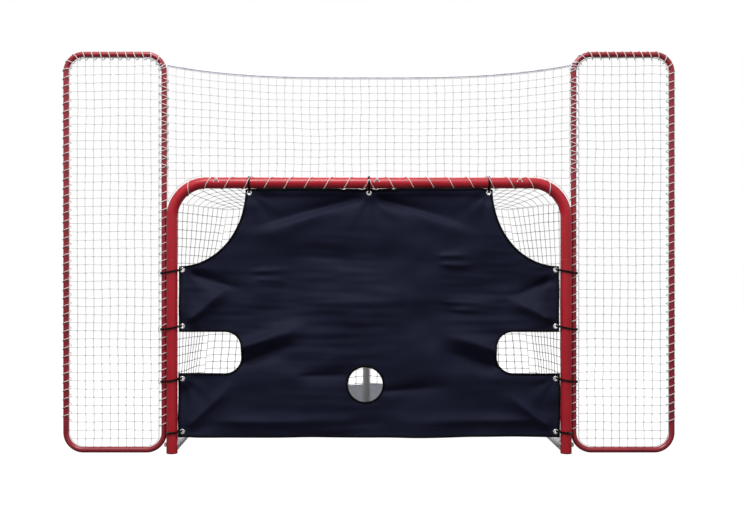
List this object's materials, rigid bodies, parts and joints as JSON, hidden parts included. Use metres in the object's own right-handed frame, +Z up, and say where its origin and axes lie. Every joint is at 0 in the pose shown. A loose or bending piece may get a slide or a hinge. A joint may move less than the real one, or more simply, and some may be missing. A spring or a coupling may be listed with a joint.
{
  "type": "hockey goal net",
  "caption": "Steel tube hockey goal with a tied-in shooting target, netted backstop wings that swing beside the posts, and a backstop net hung over the crossbar.",
  "frame": {"origin": "on the floor, in the middle of the footprint", "axes": "+X to the right as the shooter sees the goal, +Y from the shooter into the goal, +Z up"},
  "size_m": [2.7894, 0.821, 1.8287],
  "materials": {
    "red_paint": "glossy",
    "white_paint": "satin",
    "zinc_steel": "satin",
    "black_plastic": "matte",
    "white_netting": "knotted cord",
    "pale_rope": "laid rope",
    "navy_cloth": "woven, matte",
    "grey_cloth": "woven, matte",
    "black_elastic": "braided cover"
  },
  "bodies": {
    "goal": {"back_bar": "white_paint", "back_bar_tab": "zinc_steel", "back_net": "white_netting", "backstop_net": "white_netting", "backstop_rope": "pale_rope", "base_rear_rail": "white_paint", "crossbar": "red_paint", "crossbar_lacing": "white_netting", "eyelet_left_1": "zinc_steel", "eyelet_left_2": "zinc_steel", "eyelet_left_3": "zinc_steel", "eyelet_left_4": "zinc_steel", "eyelet_right_1": "zinc_steel", "eyelet_right_2": "zinc_steel", "eyelet_right_3": "zinc_steel", "eyelet_right_4": "zinc_steel", "eyelet_top_left": "zinc_steel", "eyelet_top_middle": "zinc_steel", "eyelet_top_right": "zinc_steel", "left_base_bolt": "zinc_steel", "left_base_nut": "zinc_steel", "left_base_rail": "white_paint", "left_base_tongue": "zinc_steel", "left_foot_plug": "black_plastic", "left_post": "red_paint", "left_side_net": "white_netting", "right_base_bolt": "zinc_steel", "right_base_nut": "zinc_steel", "right_base_rail": "white_paint", "right_base_tongue": "zinc_steel", "right_foot_plug": "black_plastic", "right_post": "red_paint", "right_side_net": "white_netting", "skirt": "grey_cloth", "target": "navy_cloth", "tie_left_1": "black_elastic", "tie_left_2": "black_elastic", "tie_left_3": "black_elastic", "tie_left_4": "black_elastic", "tie_right_1": "black_elastic", "tie_right_2": "black_elastic", "tie_right_3": "black_elastic", "tie_right_4": "black_elastic", "tie_top_left": "black_elastic", "tie_top_middle": "black_elastic", "tie_top_right": "black_elastic", "top_net": "white_netting"},
    "left_wing": {"left_wing_upper_hoop": "red_paint", "left_wing_lower_hoop": "red_paint", "left_wing_net": "white_netting"},
    "right_wing": {"right_wing_upper_hoop": "red_paint", "right_wing_lower_hoop": "red_paint", "right_wing_net": "white_netting"}
  },
  "joints": [
    {"name": "left_wing_swing", "type": "hinge", "parent": "goal", "child": "left_wing", "pos_m": [-0.934, -0.3529, 0], "axis": [0, 0, 1], "range_deg": [-90, 30]},
    {"name": "right_wing_swing", "type": "hinge", "parent": "goal", "child": "right_wing", "pos_m": [0.934, -0.3529, 0], "axis": [0, 0, 1], "range_deg": [-30, 90]}
  ]
}
